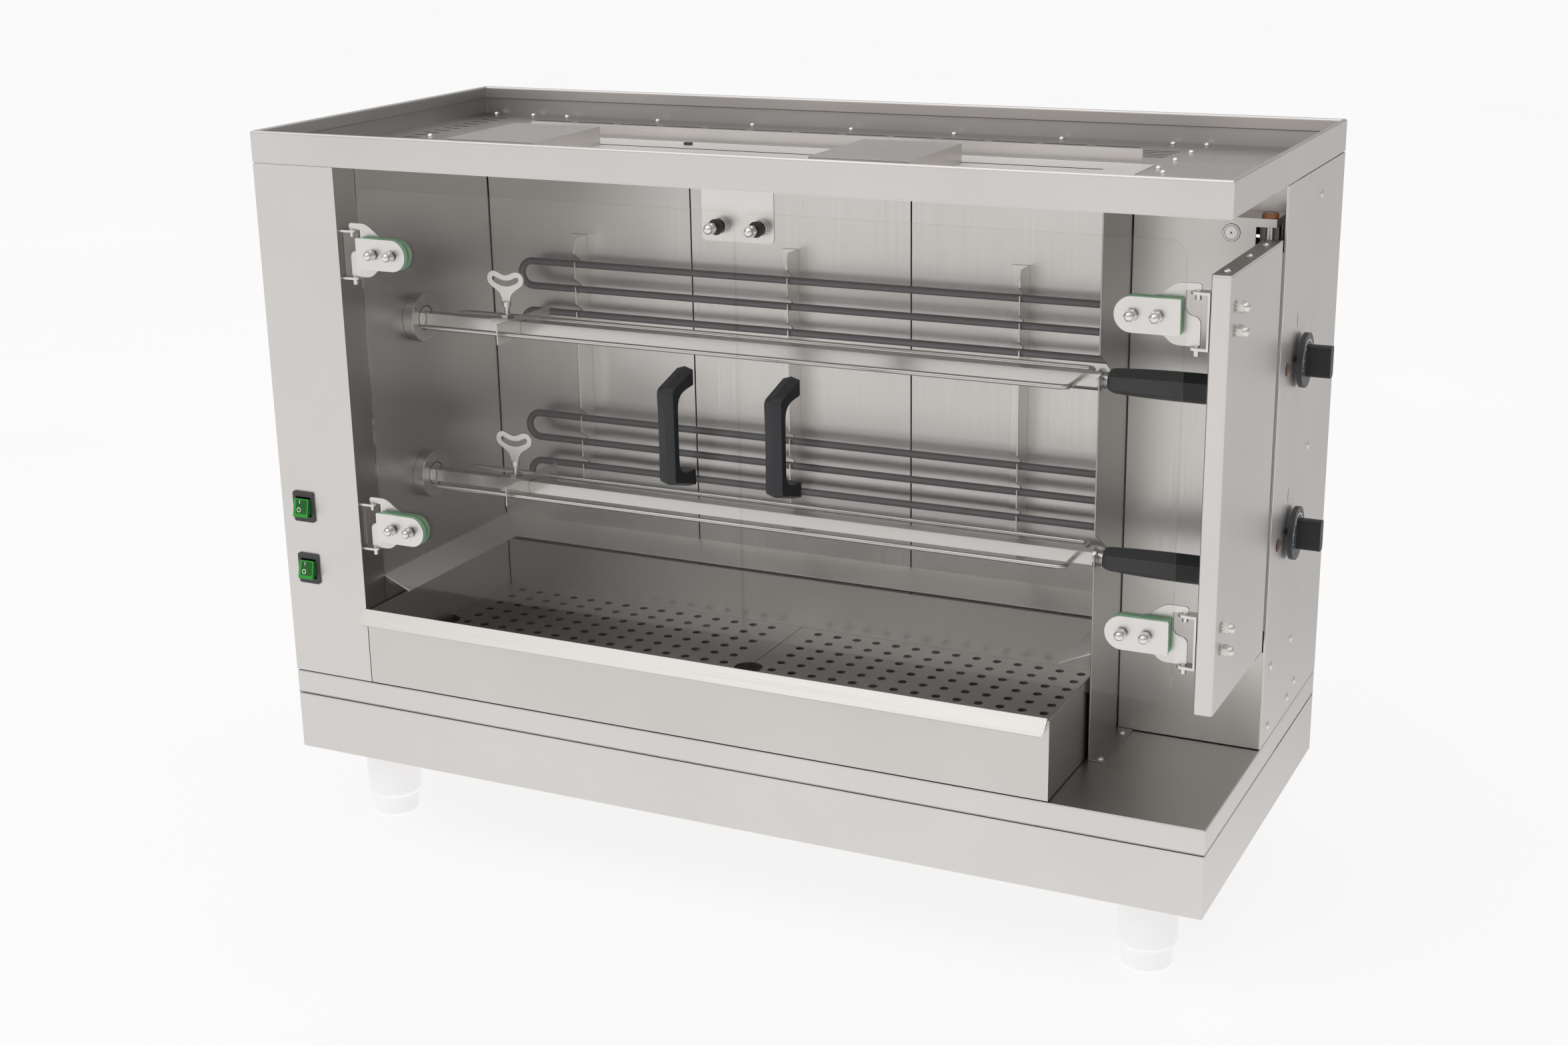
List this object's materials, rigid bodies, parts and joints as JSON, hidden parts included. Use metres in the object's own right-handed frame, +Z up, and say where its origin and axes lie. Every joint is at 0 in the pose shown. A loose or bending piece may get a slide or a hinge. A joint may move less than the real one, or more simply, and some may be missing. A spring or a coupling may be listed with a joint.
{
  "type": "chicken rotisserie",
  "caption": "Table-top spit roaster: steel cabinet with turning forked spits, tube heaters, hinged glass doors, a side gate, a drip drawer with grates, dials and adjustable feet.",
  "frame": {"origin": "bottom centre of the bounding box, on the surface that the feet stand on", "axes": "+X to the object's right seen from the front, along its length; +Y from the doors to the rear; +Z up"},
  "size_m": [1.083, 0.5066, 0.793],
  "materials": {
    "steel": "satin brushed stainless sheet",
    "steel_inner": "satin stainless sheet",
    "steel_deck": "satin stainless sheet",
    "steel_small": "satin stainless",
    "spit_steel": "polished stainless",
    "element": "dark oxidised tube",
    "glass": "clear toughened glass",
    "black_plastic": "satin",
    "green_plastic": "gloss",
    "lens": "clear lens",
    "bush": "satin",
    "gland": "matte",
    "white_plastic": "satin",
    "motor": "satin",
    "regulator": "matte",
    "wool": "mineral wool slab"
  },
  "bodies": {
    "cabinet": {"base_plinth": "steel", "work_tray": "steel", "foot_sleeves": "white_plastic", "column_front": "steel", "left_side_cover": "steel", "cavity_left_liner": "steel_inner", "rear_reflectors": "steel_inner", "insulation_slab": "wool", "rear_cover": "steel", "cable_gland": "gland", "side_covers": "steel", "housing_inner_wall": "steel_inner", "bay_wall": "steel_inner", "spit_partition": "steel_inner", "top_deck": "steel_deck", "gallery_rim": "steel", "vent_covers": "steel_deck", "door_stop_plate": "steel_small", "drip_deflectors": "steel_inner", "heating_elements": "element", "element_brackets": "steel_small", "bearing_flanges": "steel_small", "gearmotors": "motor", "energy_regulators": "regulator", "indicator_lamps": "lens", "switch_bodies": "black_plastic", "left_hinge_leaves": "steel_small", "gate_bushes": "bush", "case_screws": "steel_small"},
    "gate": {"gate_post": "steel", "gate_hinge_leaves": "steel_small"},
    "door_left": {"glass_left": "glass", "handle_left": "black_plastic", "moving_leaves_left": "steel_small", "clamp_sets_left": "steel_small"},
    "door_right": {"glass_right": "glass", "handle_right": "black_plastic", "moving_leaves_right": "steel_small", "clamp_sets_right": "steel_small"},
    "drawer": {"drip_drawer": "steel_inner"},
    "left_grate": {"grate_left": "steel_inner"},
    "right_grate": {"grate_right": "steel_inner"},
    "upper_spit": {"spit_upper": "spit_steel", "spit_handle_upper": "black_plastic", "drive_socket_upper": "steel_small"},
    "upper_holder": {"holder_upper": "spit_steel"},
    "upper_wing": {"wing_key_upper": "spit_steel"},
    "lower_spit": {"spit_lower": "spit_steel", "spit_handle_lower": "black_plastic", "drive_socket_lower": "steel_small"},
    "lower_holder": {"holder_lower": "spit_steel"},
    "lower_wing": {"wing_key_lower": "spit_steel"},
    "upper_knob": {"knob_upper": "black_plastic"},
    "lower_knob": {"knob_lower": "black_plastic"},
    "upper_rocker": {"rocker_upper": "green_plastic"},
    "lower_rocker": {"rocker_lower": "green_plastic"},
    "front_left_foot": {"foot_front_left": "white_plastic"},
    "front_right_foot": {"foot_front_right": "white_plastic"},
    "rear_left_foot": {"foot_rear_left": "white_plastic"},
    "rear_right_foot": {"foot_rear_right": "white_plastic"}
  },
  "joints": [
    {"name": "gate_swing", "type": "hinge", "parent": "cabinet", "child": "gate", "pos_m": [0.4903, 0.00025, 0.493], "axis": [0, 0, 1], "range_deg": [0, 40]},
    {"name": "door_left_swing", "type": "hinge", "parent": "cabinet", "child": "door_left", "pos_m": [-0.4263, -0.20275, 0.521], "axis": [0, 0, -1], "range_deg": [0, 90]},
    {"name": "door_right_swing", "type": "hinge", "parent": "gate", "child": "door_right", "pos_m": [0.4783, -0.20275, 0.521], "axis": [0, 0, 1], "range_deg": [0, 90]},
    {"name": "drawer_slide", "type": "slide", "parent": "cabinet", "child": "drawer", "axis": [0, -1, 0], "range_m": [0, 0.25]},
    {"name": "grate_left_lift", "type": "slide", "parent": "drawer", "child": "left_grate", "axis": [0, 0, 1], "range_m": [0, 0.05]},
    {"name": "grate_right_lift", "type": "slide", "parent": "drawer", "child": "right_grate", "axis": [0, 0, 1], "range_m": [0, 0.05]},
    {"name": "upper_spit_turn", "type": "hinge", "parent": "cabinet", "child": "upper_spit", "pos_m": [-0.0165, -0.08175, 0.5756], "axis": [1, 0, 0], "continuous": true},
    {"name": "upper_holder_slide", "type": "slide", "parent": "upper_spit", "child": "upper_holder", "axis": [1, 0, 0], "range_m": [-0.07, 0.6]},
    {"name": "upper_wing_turn", "type": "hinge", "parent": "upper_holder", "child": "upper_wing", "pos_m": [-0.3183, -0.08175, 0.5756], "axis": [0, 0, 1], "continuous": true},
    {"name": "lower_spit_turn", "type": "hinge", "parent": "cabinet", "child": "lower_spit", "pos_m": [-0.0165, -0.08175, 0.3956], "axis": [1, 0, 0], "continuous": true},
    {"name": "lower_holder_slide", "type": "slide", "parent": "lower_spit", "child": "lower_holder", "axis": [1, 0, 0], "range_m": [-0.07, 0.6]},
    {"name": "lower_wing_turn", "type": "hinge", "parent": "lower_holder", "child": "lower_wing", "pos_m": [-0.3183, -0.08175, 0.3956], "axis": [0, 0, 1], "continuous": true},
    {"name": "upper_knob_turn", "type": "hinge", "parent": "cabinet", "child": "upper_knob", "pos_m": [0.5085, 0.07125, 0.5755], "axis": [-1, 0, 0], "range_deg": [0, 300]},
    {"name": "lower_knob_turn", "type": "hinge", "parent": "cabinet", "child": "lower_knob", "pos_m": [0.5085, 0.07125, 0.3957], "axis": [-1, 0, 0], "range_deg": [0, 300]},
    {"name": "upper_rocker_tip", "type": "hinge", "parent": "cabinet", "child": "upper_rocker", "pos_m": [-0.5111, -0.20525, 0.3832], "axis": [1, 0, 0], "range_deg": [0, 14]},
    {"name": "lower_rocker_tip", "type": "hinge", "parent": "cabinet", "child": "lower_rocker", "pos_m": [-0.5111, -0.20525, 0.3116], "axis": [1, 0, 0], "range_deg": [0, 14]},
    {"name": "front_left_foot_turn", "type": "hinge", "parent": "cabinet", "child": "front_left_foot", "pos_m": [-0.4695, -0.14275, 0.013], "axis": [0, 0, 1], "continuous": true},
    {"name": "front_right_foot_turn", "type": "hinge", "parent": "cabinet", "child": "front_right_foot", "pos_m": [0.4365, -0.14275, 0.013], "axis": [0, 0, 1], "continuous": true},
    {"name": "rear_left_foot_turn", "type": "hinge", "parent": "cabinet", "child": "rear_left_foot", "pos_m": [-0.4695, 0.16725, 0.013], "axis": [0, 0, 1], "continuous": true},
    {"name": "rear_right_foot_turn", "type": "hinge", "parent": "cabinet", "child": "rear_right_foot", "pos_m": [0.4365, 0.16725, 0.013], "axis": [0, 0, 1], "continuous": true}
  ]
}
